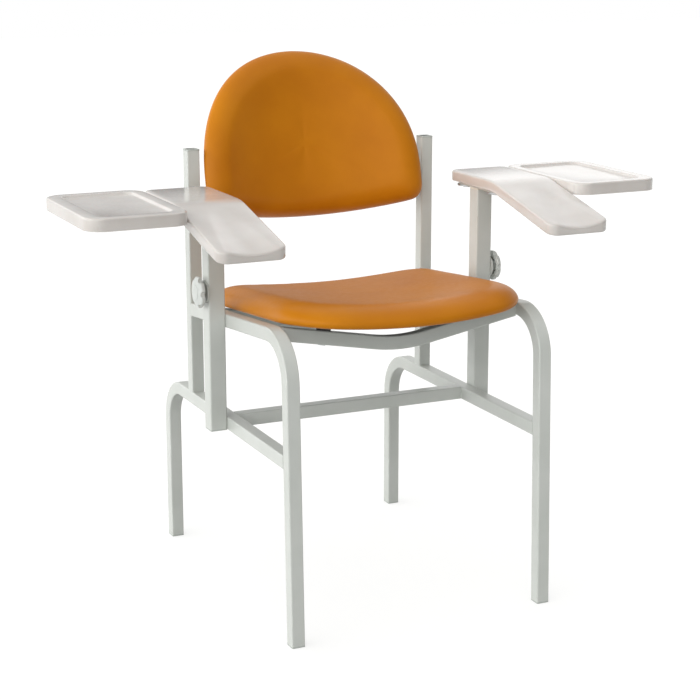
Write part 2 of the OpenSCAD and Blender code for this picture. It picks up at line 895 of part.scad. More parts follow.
module screw_line(places, step, pitch, start) {
    for (y = places) {
        for (i = [0 : step]) {
            translate([start + i * pitch, y, rest_bottom]) children();
        }
    }
}

module rest_screw_lines() {
    screw_line(strap_places, 1, rest_screw_pitch, strap_side + strap_margin) children();
}

module tray_screw_lines() {
    screw_line(strap_places, 1, tray_screw_pitch,
               strap_side + strap_length - strap_margin - tray_screw_pitch) children();
}

module forearm_rest() {
    difference() {
        intersection() {
            rest_blocks();
            translate([rest_x, rest_back - rest_length / 2, 0])
                linear_extrude(height = rest_top + overrun)
                rounded_rect(rest_width + 2 * corner_ease, rest_length, rest_corner);
        }
        translate([rest_x - rest_width / 2 - overrun, 0, 0]) side_plane()
            linear_extrude(height = rest_width + 2 * overrun) rest_underside();
        // The hollow for the forearm deepens towards the open front.
        translate([rest_x, trough_place, rest_top - (rest_knee - trough_place) * tan(rest_fall)])
            rotate([rest_fall + trough_sink, 0, 0]) translate([0, trough_past, trough_radius])
            rotate([90, 0, 0]) cylinder(r = trough_radius, h = rest_length, $fn = 96);
        bolt_lines() translate([0, 0, bracket_thickness - overrun])
            cylinder(r = bolt_radius + screw_clearance, h = bolt_bite + bore_end + overrun);
        rest_screw_lines() translate([0, 0, -overrun])
            cylinder(r = screw_radius + screw_clearance, h = screw_bite + bore_end + overrun);
    }
}

module tray() {
    recess_wide = tray_width - tray_rim_inner - tray_rim_outer;
    recess_long = tray_length - tray_rim_back - tray_rim_front;
    ceiling = rest_top - tray_recess - tray_panel;
    difference() {
        union() {
            difference() {
                translate([tray_x, tray_y, tray_bottom]) linear_extrude(height = tray_depth)
                    rounded_rect(tray_width, tray_length, tray_corner);
                // The recess on top.
                translate([tray_side + tray_rim_inner + recess_wide / 2,
                           tray_back - tray_rim_back - recess_long / 2, rest_top - tray_recess])
                    linear_extrude(height = tray_recess + overrun)
                    rounded_rect(recess_wide, recess_long, tray_recess_corner);
                // The hollow underneath.
                translate([tray_x, tray_y, tray_bottom - overrun])
                    linear_extrude(height = ceiling - tray_bottom + overrun)
                    rounded_rect(tray_width - 2 * tray_wall, tray_length - 2 * tray_wall,
                                 tray_corner - tray_wall);
            }
            tray_screw_lines() cylinder(r = boss_radius, h = ceiling - rest_bottom + tray_panel / 2);
        }
        // Notches for the straps.
        for (place = strap_places) {
            translate([tray_side - overrun, place - strap_width / 2 - strap_fit,
                       tray_bottom - overrun])
                cube([tray_wall + 2 * overrun, strap_width + 2 * strap_fit,
                      rest_bottom - tray_bottom + strap_fit + overrun]);
        }
        tray_screw_lines() translate([0, 0, -overrun])
            cylinder(r = screw_radius + screw_clearance, h = screw_bite + overrun);
    }
}

module tray_straps() {
    difference() {
        for (place = strap_places) {
            translate([strap_side + strap_length / 2, place, rest_bottom - strap_thickness])
                linear_extrude(height = strap_thickness)
                rounded_rect(strap_length, strap_width, strap_corner);
        }
        rest_screw_lines() translate([0, 0, -strap_thickness - overrun])
            cylinder(r = screw_radius + screw_clearance, h = strap_thickness + 2 * overrun);
        tray_screw_lines() translate([0, 0, -strap_thickness - overrun])
            cylinder(r = screw_radius + screw_clearance, h = strap_thickness + 2 * overrun);
    }
}

module tray_screws() {
    rest_screw_lines() translate([0, 0, -strap_thickness])
        fastener(screw_radius, screw_head_radius, screw_head, strap_thickness + screw_bite);
    tray_screw_lines() translate([0, 0, -strap_thickness])
        fastener(screw_radius, screw_head_radius, screw_head,
                 strap_thickness + screw_bite - bore_end);
}

// Clamp.

module pressure_pad() {
    knob_axis(pad_foot) cylinder(r = pad_radius, h = pad_thickness);
}

module clamp_stud() {
    knob_axis(stud_foot)
        cylinder(r = stud_diameter / 2, h = knob_foot + knob_hub_short + stud_hold - stud_foot);
}

module knob() {
    radius = knob_diameter / 2;
    ball = (pow(radius, 2) + pow(knob_crown, 2)) / (2 * knob_crown);
    difference() {
        // A thick disc with a crowned face.
        intersection() {
            knob_axis(knob_foot) cylinder(r = radius, h = knob_thickness + overrun);
            knob_axis(knob_foot + knob_thickness - ball) sphere(r = ball);
        }
        // Scallops round the rim.
        for (i = [0 : knob_lobes - 1]) {
            knob_axis(knob_foot - overrun) rotate([0, 0, (i + 0.5) * 360 / knob_lobes])
                translate([radius + knob_scallop - knob_scallop_bite, 0, 0])
                cylinder(r = knob_scallop, h = knob_thickness + 2 * overrun);
        }
        // The hollow back, round the hub.
        difference() {
            knob_axis(knob_foot - overrun)
                cylinder(r = radius - knob_scallop_bite - knob_rim,
                         h = knob_thickness - knob_web + overrun);
            knob_axis(knob_foot + knob_hub_short) cylinder(r = knob_hub_radius, h = knob_thickness);
        }
        knob_axis(knob_foot - overrun)
            cylinder(r = stud_diameter / 2, h = knob_hub_short + stud_hold + overrun);
    }
}

// Nodes.

steel = "gainsboro";
plastic = "linen";
dark = "dimgray";
zinc = "silver";
vinyl = "darkorange";

color(steel) left() front_tube();  // left_front_tube
color(steel) right() front_tube();  // right_front_tube
color(steel) left() rear_tube();  // left_rear_tube
color(steel) right() rear_tube();  // right_rear_tube
color(steel) left() upright();  // left_upright
color(steel) right() upright();  // right_upright
color(steel) placed() crossbar();
color(steel) placed() seat_bar(front_bar_place);  // front_seat_bar
color(steel) placed() seat_bar(rear_bar_place);  // rear_seat_bar
color(steel) placed() back_bar();
color(steel) placed() back_plates();
color(steel) left() arm_sleeve();  // left_arm_sleeve
color(steel) right() arm_sleeve();  // right_arm_sleeve
color(plastic) both() sleeve_cap();  // sleeve_caps
color(plastic) both() glide_bush();  // glide_bushes
color(zinc) both() clamp_nut();  // clamp_nuts
color(plastic) both() {  // foot_caps
    front_foot_cap();
    rear_foot_cap();
}
color(plastic) both() upright_cap();  // upright_caps
color(dark) seat_board();
color(vinyl) seat_cushion();
color(zinc) seat_screws();
color(dark) back_board();
color(vinyl) back_cushion();
color(zinc) back_screws();
color(steel) left() arm_tube_piece();  // left_arm_tube
color(steel) right() arm_tube_piece();  // right_arm_tube
color(dark) left() tube_plug();  // left_tube_plug
color(dark) right() tube_plug();  // right_tube_plug
color(steel) left() arm_bracket();  // left_arm_bracket
color(steel) right() arm_bracket();  // right_arm_bracket
color(zinc) left() bracket_bolts();  // left_bracket_bolts
color(zinc) right() bracket_bolts();  // right_bracket_bolts
color(zinc) left() bracket_washers();  // left_bracket_washers
color(zinc) right() bracket_washers();  // right_bracket_washers
color(plastic) left() forearm_rest();  // left_forearm_rest
color(plastic) right() forearm_rest();  // right_forearm_rest
color(plastic) left() tray();  // left_tray
color(plastic) right() tray();  // right_tray
color(steel) left() tray_straps();  // left_tray_straps
color(steel) right() tray_straps();  // right_tray_straps
color(zinc) left() tray_screws();  // left_tray_screws
color(zinc) right() tray_screws();  // right_tray_screws
color(zinc) left() pressure_pad();  // left_pressure_pad
color(zinc) right() pressure_pad();  // right_pressure_pad
color(zinc) left() clamp_stud();  // left_clamp_stud
color(zinc) right() clamp_stud();  // right_clamp_stud
color(plastic) left() knob();  // left_knob
color(plastic) right() knob();  // right_knob
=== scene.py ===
import logging
import math
from dataclasses import dataclass, field
from enum import Enum
from typing import Callable, Iterable, Sequence

import bmesh
import bpy
from bmesh.types import BMEdge, BMFace
from bpy.types import Material, Node, NodeSocket, NodeTree, Object, World
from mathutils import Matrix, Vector


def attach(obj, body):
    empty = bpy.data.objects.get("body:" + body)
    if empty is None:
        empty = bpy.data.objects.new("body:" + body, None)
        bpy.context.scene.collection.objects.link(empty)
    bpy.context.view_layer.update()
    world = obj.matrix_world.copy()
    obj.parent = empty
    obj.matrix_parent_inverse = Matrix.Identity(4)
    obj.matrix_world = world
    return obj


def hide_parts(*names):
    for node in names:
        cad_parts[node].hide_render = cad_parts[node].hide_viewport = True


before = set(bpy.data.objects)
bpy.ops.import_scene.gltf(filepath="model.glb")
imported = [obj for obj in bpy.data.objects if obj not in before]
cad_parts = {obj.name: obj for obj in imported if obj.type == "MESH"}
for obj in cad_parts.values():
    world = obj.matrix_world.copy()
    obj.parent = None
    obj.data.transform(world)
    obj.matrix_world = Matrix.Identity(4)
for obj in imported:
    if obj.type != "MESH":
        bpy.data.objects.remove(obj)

Pair = tuple[float, float]
LOG = logging.getLogger("blood_draw_chair")
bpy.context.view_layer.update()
MM = 0.001
HALF_DEPTH = 331 * MM
SAME_PLACE = 1e-5  # metres between two places that count as one
NO_LENGTH = 1e-6  # metres of an edge too short to have a direction
UPRIGHT = 0.999  # least share of an upright edge's length along Z
FACING = 0.9  # least share of a normal along an axis that its face looks along
LEVEL = 0.7  # least rise of a normal whose face counts as a top or bottom
SIDEWAYS = 0.5  # most rise of a normal whose face counts as a side
NOISE_SPAN = (0.3, 0.7)  # most of a noise pattern's values lie between these
WHITE = (1.0, 1.0, 1.0, 1.0)


class Side(Enum):
    """The two sides of the chair, with the sign of X on each."""

    LEFT = -1
    RIGHT = 1

    @property
    def word(self) -> str:
        """The side's name in the CAD nodes."""
        return self.name.lower()

    def span(self, inner: float, outer: float) -> list[float]:
        """The X of two distances out from the chair's middle, the lower one first."""
        return sorted((self.value * inner, self.value * outer))


class Part(Enum):
    """What an edit-mode selection is made of."""

    EDGE = "EDGE"
    FACE = "FACE"


# -------- the modelling bench


def along(depth_mm: float) -> float:
    """The Y, in metres, of a distance from the front feet in millimetres."""
    return depth_mm * MM - HALF_DEPTH


def within_one(value: float) -> float:
    """The value, held between 0 and 1."""
    return min(max(value, 0), 1)


def both_sides(*words: str) -> tuple[str, ...]:
    """The CAD nodes whose names are left_ and right_ with these words."""
    return tuple(f"{side.word}_{word}" for word in words for side in Side)


def deselect_all() -> None:
    """Deselects every object, so that an operator acts on the new piece alone."""
    for other in bpy.context.selected_objects:
        other.select_set(False)


def make_active(piece: Object) -> None:
    """Selects one piece alone and makes it the active one.

    Args:
        piece: The object to work on.
    """
    deselect_all()
    piece.select_set(True)
    bpy.context.view_layer.objects.active = piece


def begin_edit(piece: Object) -> None:
    """Enters edit mode on a piece."""
    make_active(piece)
    bpy.ops.object.mode_set(mode="EDIT")


def end_edit() -> None:
    """Leaves edit mode."""
    bpy.ops.object.mode_set(mode="OBJECT")


def select_where(part: Part, test: Callable[[object], bool]) -> None:
    """Selects the elements of the piece in edit mode that pass a test, and no others.

    Args:
        part: The kind of element that is tested.
        test: True for an element that is to be selected.
    """
    bpy.ops.mesh.select_mode(type=part.value)
    bpy.ops.mesh.select_all(action="DESELECT")
    mesh = bpy.context.edit_object.data
    shape = bmesh.from_edit_mesh(mesh)
    shape.normal_update()
    for element in shape.edges if part is Part.EDGE else shape.faces:
        if test(element):
            element.select_set(True)
    shape.select_flush_mode()
    bmesh.update_edit_mesh(mesh)


def take_new(name: str) -> Object:
    """Names the object just added and puts its place into its mesh.

    Args:
        name: The object's name.

    Returns:
        The object, which then sits at the origin.
    """
    piece = bpy.context.active_object
    piece.name = name
    piece.data.name = name
    make_active(piece)
    bpy.ops.object.transform_apply(location=True, rotation=True, scale=True)
    return piece


def block(name: str, low: Sequence[float], high: Sequence[float]) -> Object:
    """Adds a block between two corners, as the start of a piece.

    Args:
        name: The object's name.
        low: The lowest corner, in metres.
        high: The highest corner, in metres.

    Returns:
        The new object, at the origin.
    """
    deselect_all()
    middle = [(a + b) / 2 for a, b in zip(low, high)]
    size = [b - a for a, b in zip(low, high)]
    bpy.ops.mesh.primitive_cube_add(size=1, location=middle, scale=size)
    return take_new(name)


def drum(name: str, centre: Sequence[float], radius: float, length: float,
         axis: Sequence[float] = (0, 0, 1), sides: int = 48) -> Object:
    """Adds a round bar about an axis, as the start of a piece.

    Args:
        name: The object's name.
        centre: The middle of the bar, in metres.
        radius: Its radius.
        length: Its length along the axis.
        axis: The direction of the axis.
        sides: The number of faces round it.

    Returns:
        The new object, at the origin.
    """
    deselect_all()
    turn = Vector((0, 0, 1)).rotation_difference(Vector(axis).normalized()).to_euler()
    bpy.ops.mesh.primitive_cylinder_add(
        vertices=sides, radius=radius, depth=length, location=centre, rotation=turn)
    return take_new(name)


def apply_modifier(piece: Object, kind: str, **settings: object) -> None:
    """Adds a modifier with its settings and applies it.

    Args:
        piece: The object that gets it.
        kind: The modifier's type, in Blender's words.
        **settings: The modifier's properties.
    """
    make_active(piece)
    tool = piece.modifiers.new(kind.title(), kind)
    for key, value in settings.items():
        setattr(tool, key, value)
    bpy.ops.object.modifier_apply(modifier=tool.name)


def cut_away(piece: Object, cutter: Object, operation: str = "DIFFERENCE") -> None:
    """Cuts a piece with another object, or joins them, and removes the cutter.

    Args:
        piece: The object that is kept.
        cutter: The object that is used up.
        operation: DIFFERENCE or UNION.
    """
    apply_modifier(piece, "BOOLEAN", operation=operation, object=cutter, solver="EXACT")
    bpy.data.objects.remove(cutter, do_unlink=True)


def shade(piece: Object, angle: float = 35) -> None:
    """Shades a piece smooth across edges flatter than an angle in degrees."""
    make_active(piece)
    bpy.ops.object.shade_smooth_by_angle(angle=math.radians(angle))


def slice_across(axis: int, places: Iterable[float]) -> None:
    """Adds edge loops right through the piece in edit mode, at places along an axis.

    Args:
        axis: 0, 1 or 2 for X, Y or Z.
        places: The coordinates of the loops, in metres.
    """
    normal = Vector((0, 0, 0))
    normal[axis] = 1
    for place in places:
        bpy.ops.mesh.select_all(action="SELECT")
        bpy.ops.mesh.bisect(plane_co=normal * place, plane_no=normal)


def is_upright_edge(edge: BMEdge) -> bool:
    """True for an edge that runs along Z."""
    rise = edge.verts[1].co - edge.verts[0].co
    return rise.length > NO_LENGTH and abs(rise.z) > UPRIGHT * rise.length


def looks(axis: int, way: float) -> Callable[[BMFace], bool]:
    """A test for the faces that look along an axis.

    Args:
        axis: 0, 1 or 2 for X, Y or Z.
        way: 1 or -1.

    Returns:
        The test.
    """
    return lambda face: face.normal[axis] * way > FACING


def rim_edges(up: float) -> Callable[[BMEdge], bool]:
    """A test for the edges between a top or bottom and the sides.

    Args:
        up: 1 for the top's rim, -1 for the bottom's.

    Returns:
        The test.
    """
    def test(edge: BMEdge) -> bool:
        """True if one face looks up or down and the other sideways."""
        if len(edge.link_faces) != 2:
            return False
        low, high = sorted(face.normal.z * up for face in edge.link_faces)
        return -SIDEWAYS < low < SIDEWAYS and high > LEVEL

    return test


def bevel_where(test: Callable[[BMEdge], bool], width: float, segments: int) -> None:
    """Bevels the edges of the piece in edit mode that pass a test.

    Args:
        test: True for an edge that is to be bevelled.
        width: The bevel's width, in metres.
        segments: The number of faces across it.
    """
    select_where(Part.EDGE, test)
    bpy.ops.mesh.bevel(offset=width, offset_type="OFFSET", segments=segments, clamp_overlap=True)


# -------- finishes


def linear(hex_colour: str) -> tuple[float, float, float, float]:
    """Turns an sRGB hex colour into the linear colour that a shader takes.

    Args:
        hex_colour: Six hex digits with a leading number sign.

    Returns:
        Red, green, blue and an alpha of 1.
    """
    digits = hex_colour.lstrip("#")
    channels = [int(digits[i:i + 2], 16) / 255 for i in (0, 2, 4)]
    values = [c / 12.92 if c <= 0.04045 else ((c + 0.055) / 1.055) ** 2.4 for c in channels]
    return (values[0], values[1], values[2], 1.0)


def spaced(place: NodeSocket, size_mm: float) -> dict[str | int, object]:
    """The inputs of a pattern whose features are that many millimetres apart."""
    return {"Vector": place, "Scale": 1000.0 / size_mm}


def add_node(tree: NodeTree, kind: str, inputs: dict[str | int, object] | None = None,
             **settings: object) -> Node:
    """Adds a shader node with its settings, values and links.

    Args:
        tree: The node tree.
        kind: The node's type.
        inputs: Its sockets' values, or the sockets to link them to.
        **settings: Properties of the node.

    Returns:
        The new node.
    """
    node = tree.nodes.new(kind)
    for key, value in settings.items():
        setattr(node, key, value)
    for key, value in (inputs or {}).items():
        if isinstance(value, NodeSocket):
            tree.links.new(value, node.inputs[key])
        else:
            node.inputs[key].default_value = value
    return node


def emptied(owner: Material | World) -> NodeTree:
    """Turns on the nodes of a new material or world and clears them.

    Args:
        owner: The material or world.

    Returns:
        Its empty node tree.
    """
    owner.use_nodes = True
    owner.node_tree.nodes.clear()
    return owner.node_tree


Surface = tuple[NodeSocket, NodeSocket, dict[str, object]]


@dataclass(frozen=True)
class Finish:
    """What every finish has: a name, two shades, a range of roughness and its own patterns."""

    name: str
    dark: str
    light: str
    rough: Pair
    shading: Pair = NOISE_SPAN  # the tint pattern's values at the two shades

    def surface(self, tree: NodeTree, place: NodeSocket) -> Surface:
        """Adds the finish's own patterns.

        Args:
            tree: The material's node tree.
            place: The object coordinates, in metres.

        Returns:
            The tint's pattern, the roughness's pattern and the shader's other inputs.
        """
        raise NotImplementedError

    def build(self) -> Material:
        """Builds the material."""
        material = bpy.data.materials.new(self.name)
        tree = emptied(material)
        place = add_node(tree, "ShaderNodeTexCoord").outputs["Object"]
        tint, sheen, inputs = self.surface(tree, place)
        ramp = add_node(tree, "ShaderNodeValToRGB", {"Fac": tint})
        for stop, value, colour in zip(
                ramp.color_ramp.elements, self.shading, (self.dark, self.light)):
            stop.position = value
            stop.color = linear(colour)
        rough = add_node(tree, "ShaderNodeMapRange", {
            "Value": sheen, "From Min": NOISE_SPAN[0], "From Max": NOISE_SPAN[1],
            "To Min": self.rough[0], "To Max": self.rough[1]})
        shader = add_node(tree, "ShaderNodeBsdfPrincipled", {
            "Base Color": ramp.outputs["Color"], "Roughness": rough.outputs["Result"], **inputs})
        add_node(tree, "ShaderNodeOutputMaterial", {"Surface": shader.outputs["BSDF"]})
        return material


@dataclass(frozen=True)
class PowderCoatedSteel(Finish):
    """Mild steel tube with a baked light grey powder coat.

    The melted powder leaves a satin film with a faint orange peel, so highlights along the
    tube's corners are soft, and flats carry a barely uneven sheen.
    """

    name: str = "light_grey_powder_coat"
    dark: str = "#c5c9c3"
    light: str = "#cfd2cd"
    rough: Pair = (0.34, 0.42)
    cloud_mm: float = 90.0
    peel_mm: float = 2.6  # the real peel is about 1 mm and would not show

    def surface(self, tree: NodeTree, place: NodeSocket) -> Surface:
        """Adds the powder coat's patterns."""
        cloud = add_node(tree, "ShaderNodeTexNoise", {
            **spaced(place, self.cloud_mm), "Detail": 3.0, "Roughness": 0.5})
        peel = add_node(tree, "ShaderNodeTexNoise", {**spaced(place, self.peel_mm), "Detail": 1.0})
        bump = add_node(tree, "ShaderNodeBump", {
            "Height": peel.outputs["Fac"], "Strength": 0.05, "Distance": 0.0004})
        return cloud.outputs["Fac"], cloud.outputs["Fac"], {
            "IOR": 1.5, "Coat Weight": 0.25, "Coat Roughness": 0.18,
            "Normal": bump.outputs["Normal"]}


@dataclass(frozen=True)
class CaramelVinyl(Finish):
    """Expanded PVC upholstery in caramel orange, stretched over moulded foam.

    Its skin is embossed with a fine grain that only breaks up the highlights, and the
    stretched cover has a satin gloss with a slightly glossier crest.
    """

    name: str = "caramel_vinyl"
    dark: str = "#bc700e"
    light: str = "#ca7e10"
    rough: Pair = (0.34, 0.42)
    shading: Pair = (0.3, 0.72)
    cloud_mm: float = 160.0
    crease_mm: float = 9.0
    grain_mm: float = 2.2  # the real grain is about 0.8 mm and would not show

    def surface(self, tree: NodeTree, place: NodeSocket) -> Surface:
        """Adds the vinyl's patterns."""
        cloud = add_node(tree, "ShaderNodeTexNoise", {
            **spaced(place, self.cloud_mm), "Detail": 4.0, "Roughness": 0.55})
        pebble = add_node(tree, "ShaderNodeTexVoronoi", {
            **spaced(place, self.grain_mm), "Randomness": 0.9})
        crease = add_node(tree, "ShaderNodeTexNoise", {
            **spaced(place, self.crease_mm), "Detail": 5.0, "Roughness": 0.6})
        coarse = add_node(tree, "ShaderNodeBump", {
            "Height": crease.outputs["Fac"], "Strength": 0.06, "Distance": 0.001})
        fine = add_node(tree, "ShaderNodeBump", {
            "Height": pebble.outputs["Distance"], "Strength": 0.05, "Distance": 0.0004,
            "Normal": coarse.outputs["Normal"]})
        return cloud.outputs["Fac"], crease.outputs["Fac"], {
            "IOR": 1.52, "Specular IOR Level": 0.22, "Specular Tint": (1.0, 0.8, 0.55, 1.0),
            "Normal": fine.outputs["Normal"]}


@dataclass(frozen=True)
class PolishedAbs(Finish):
    """Injection-moulded ABS in warm off-white, from a polished mould.

    A polished mould gives a glossy skin with long soft reflections that waver a little
    where the wall behind it has shrunk.
    """

    name: str = "warm_white_abs"
    dark: str = "#c8c2bc"
    light: str = "#d2cdc8"
    rough: Pair = (0.17, 0.25)
    sink_mm: float = 70.0
    scuff_mm: float = 6.0

    def surface(self, tree: NodeTree, place: NodeSocket) -> Surface:
        """Adds the ABS's patterns."""
        sink = add_node(tree, "ShaderNodeTexNoise", {**spaced(place, self.sink_mm), "Detail": 2.0})
        scuff = add_node(tree, "ShaderNodeTexNoise", {
            **spaced(place, self.scuff_mm), "Detail": 6.0, "Roughness": 0.65})
        bump = add_node(tree, "ShaderNodeBump", {
            "Height": sink.outputs["Fac"], "Strength": 0.08, "Distance": 0.002})
        return sink.outputs["Fac"], scuff.outputs["Fac"], {
            "IOR": 1.6, "Coat Weight": 0.35, "Coat Roughness": 0.08,
            "Subsurface Weight": 0.03, "Subsurface Scale": 0.004,
            "Normal": bump.outputs["Normal"]}


@dataclass(frozen=True)
class MouldedPlastic(Finish):
    """A satin moulded plastic: a polyamide knob, a polyethylene cap or a nylon bush.

    A spark-eroded mould leaves a very fine matt texture, which widens the highlights.
    """

    cloud_mm: float = 18.0
    texture_mm: float = 1.6  # the real texture is about 0.1 mm and would not show

    def surface(self, tree: NodeTree, place: NodeSocket) -> Surface:
        """Adds the moulded plastic's patterns."""
        cloud = add_node(tree, "ShaderNodeTexNoise", {
            **spaced(place, self.cloud_mm), "Detail": 3.0})
        texture = add_node(tree, "ShaderNodeTexNoise", {
            **spaced(place, self.texture_mm), "Detail": 2.0})
        bump = add_node(tree, "ShaderNodeBump", {
            "Height": texture.outputs["Fac"], "Strength": 0.08, "Distance": 0.0002})
        return cloud.outputs["Fac"], cloud.outputs["Fac"], {
            "IOR": 1.5, "Normal": bump.outputs["Normal"]}


@dataclass(frozen=True)
class StainedPlywood(Finish):
    """Rotary-cut birch plywood, pressed to shape and stained black.

    The stain leaves the veneer's long wavy bands just visible, and fine short pores.
    """

    name: str = "black_stained_plywood"
    dark: str = "#211d1a"
    light: str = "#322c27"
    rough: Pair = (0.45, 0.6)
    shading: Pair = (0.32, 0.68)
    band_mm: float = 22.0
    pore_mm: float = 2.2

    def surface(self, tree: NodeTree, place: NodeSocket) -> Surface:
        """Adds the plywood's patterns."""
        stretch = add_node(tree, "ShaderNodeMapping", {
            "Vector": place, "Scale": (1.0, 0.12, 0.12)})
        bands = add_node(tree, "ShaderNodeTexNoise", {
            **spaced(stretch.outputs["Vector"], self.band_mm), "Detail": 4.0, "Distortion": 0.6})
        pores = add_node(tree, "ShaderNodeTexNoise", {
            **spaced(stretch.outputs["Vector"], self.pore_mm), "Detail": 2.0})
        bump = add_node(tree, "ShaderNodeBump", {
            "Height": pores.outputs["Fac"], "Strength": 0.15, "Distance": 0.0003})
        return bands.outputs["Fac"], pores.outputs["Fac"], {
            "IOR": 1.5, "Normal": bump.outputs["Normal"]}


@dataclass(frozen=True)
class ZincPlatedSteel(Finish):
    """Steel fasteners with bright passivated zinc.

    The plating is a cool metal with a faint cloudy tint and a satin finish.
    """

    name: str = "bright_zinc"
    dark: str = "#a7abae"
    light: str = "#c4c7c9"
    rough: Pair = (0.26, 0.4)
    cloud_mm: float = 5.0

    def surface(self, tree: NodeTree, place: NodeSocket) -> Surface:
        """Adds the zinc's patterns."""
        cloud = add_node(tree, "ShaderNodeTexNoise", {
            **spaced(place, self.cloud_mm), "Detail": 4.0})
        return cloud.outputs["Fac"], cloud.outputs["Fac"], {"Metallic": 1.0}


@dataclass
class Finishes:
    """Every finish of the chair, built once."""

    steel: Material = field(default_factory=PowderCoatedSteel().build)
    vinyl: Material = field(default_factory=CaramelVinyl().build)
    abs_white: Material = field(default_factory=PolishedAbs().build)
    knob: Material = field(default_factory=MouldedPlastic(
        "grey_polyamide", "#cdd1cd", "#d8dcd8", (0.32, 0.4)).build)
    cap: Material = field(default_factory=MouldedPlastic(
        "grey_polyethylene", "#b4b9b3", "#bfc4be", (0.36, 0.44)).build)
    nylon: Material = field(default_factory=MouldedPlastic(
        "natural_nylon", "#d6d3c6", "#e0ded3", (0.46, 0.54)).build)
    plywood: Material = field(default_factory=StainedPlywood().build)
    zinc: Material = field(default_factory=ZincPlatedSteel().build)


def dress(piece: Object, material: Material) -> None:
    """Gives a piece one material all over.

    Args:
        piece: A new piece or a CAD node.
        material: The finish.
    """
    if not piece.material_slots:
        piece.data.materials.append(material)
    for place in piece.material_slots:
        place.material = material


def fit(piece: Object, body: str, material: Material, slot: str, *nodes: str) -> None:
    """Dresses a new piece, lets it ride and lets it stand for its CAD nodes.

    Args:
        piece: The new piece.
        body: The CAD body that it rides on.
        material: Its finish.
        slot: A material slot's name; not used.
        *nodes: The CAD nodes that it stands for.
    """
    dress(piece, material)
    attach(piece, body)
    if nodes:
        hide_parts(*nodes)
    LOG.info("%s: %d faces on %s", piece.name, len(piece.data.polygons), body)


# -------- the chair


@dataclass
class WeldedFrame:
    """The tubes, bars and sleeves: CAD shapes with their real finish."""

    finishes: Finishes
    painted: tuple[str, ...] = (
        "crossbar", "front_seat_bar", "rear_seat_bar", "back_bar", "back_plates", "clamp_nuts",
        *both_sides("front_tube", "rear_tube", "upright", "arm_sleeve", "arm_tube",
                    "arm_bracket", "tray_straps"))
    nylon: tuple[str, ...] = ("glide_bushes", *both_sides("tube_plug", "pressure_pad"))
    capped: tuple[str, ...] = ("sleeve_caps", "foot_caps")
    boards: tuple[str, ...] = ("seat_board", "back_board")
    zinc: tuple[str, ...] = (
        "seat_screws", "back_screws",
        *both_sides("bracket_bolts", "bracket_washers", "tray_screws", "clamp_stud"))

    def dress_all(self) -> None:
        """Dresses every CAD node that keeps its own shape."""
        groups = ((self.painted, self.finishes.steel), (self.nylon, self.finishes.nylon),
                  (self.capped, self.finishes.cap), (self.boards, self.finishes.plywood),
                  (self.zinc, self.finishes.zinc))
        for names, material in groups:
            for name in names:
                dress(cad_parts[name], material)
        LOG.info("dressed the welded frame")


@dataclass
class UprightCaps:
    """The plastic caps on the two uprights, with a chamfered lip and a sunk middle."""

    finishes: Finishes
    tube: float = 25 * MM
    overhang: float = 0.4 * MM
    lip: float = 3 * MM
    insert: float = 21.7 * MM
    insert_depth: float = 18 * MM
    top: float = 823 * MM
    rail_x: float = 249.5 * MM
    middle_y: float = along(506.5)
    corner: float = 2.9 * MM
    border: float = 3.2 * MM
    step: float = 0.8 * MM
    sunk: float = 0.5 * MM
    chamfer: float = 1.1 * MM

    def one(self, side: Side) -> Object:
        """Models the cap on one side.

        Args:
            side: The side of the chair.

        Returns:
            The finished cap.
        """
        half = self.tube / 2 + self.overhang
        x, y = side.value * self.rail_x, self.middle_y
        cap = block(f"{side.word}_upright_cap", (x - half, y - half, self.top - self.lip),
                    (x + half, y + half, self.top))
        begin_edit(cap)
        bevel_where(is_upright_edge, self.corner, 5)
        select_where(Part.FACE, looks(2, 1))
        bpy.ops.mesh.inset(thickness=self.border, depth=0)
        bpy.ops.mesh.inset(thickness=self.step, depth=-self.sunk)
        bevel_where(rim_edges(1), self.chamfer, 3)
        select_where(Part.FACE, looks(2, -1))
        bpy.ops.mesh.inset(thickness=half - self.insert / 2, depth=0)
        bpy.ops.mesh.extrude_region_move(
            TRANSFORM_OT_translate={"value": (0, 0, -self.insert_depth)})
        end_edit()
        shade(cap)
        return cap

    def build(self) -> None:
        """Models both caps."""
        for side in Side:
            fit(self.one(side), "chair_frame", self.finishes.cap, "cap_plastic", "upright_caps")


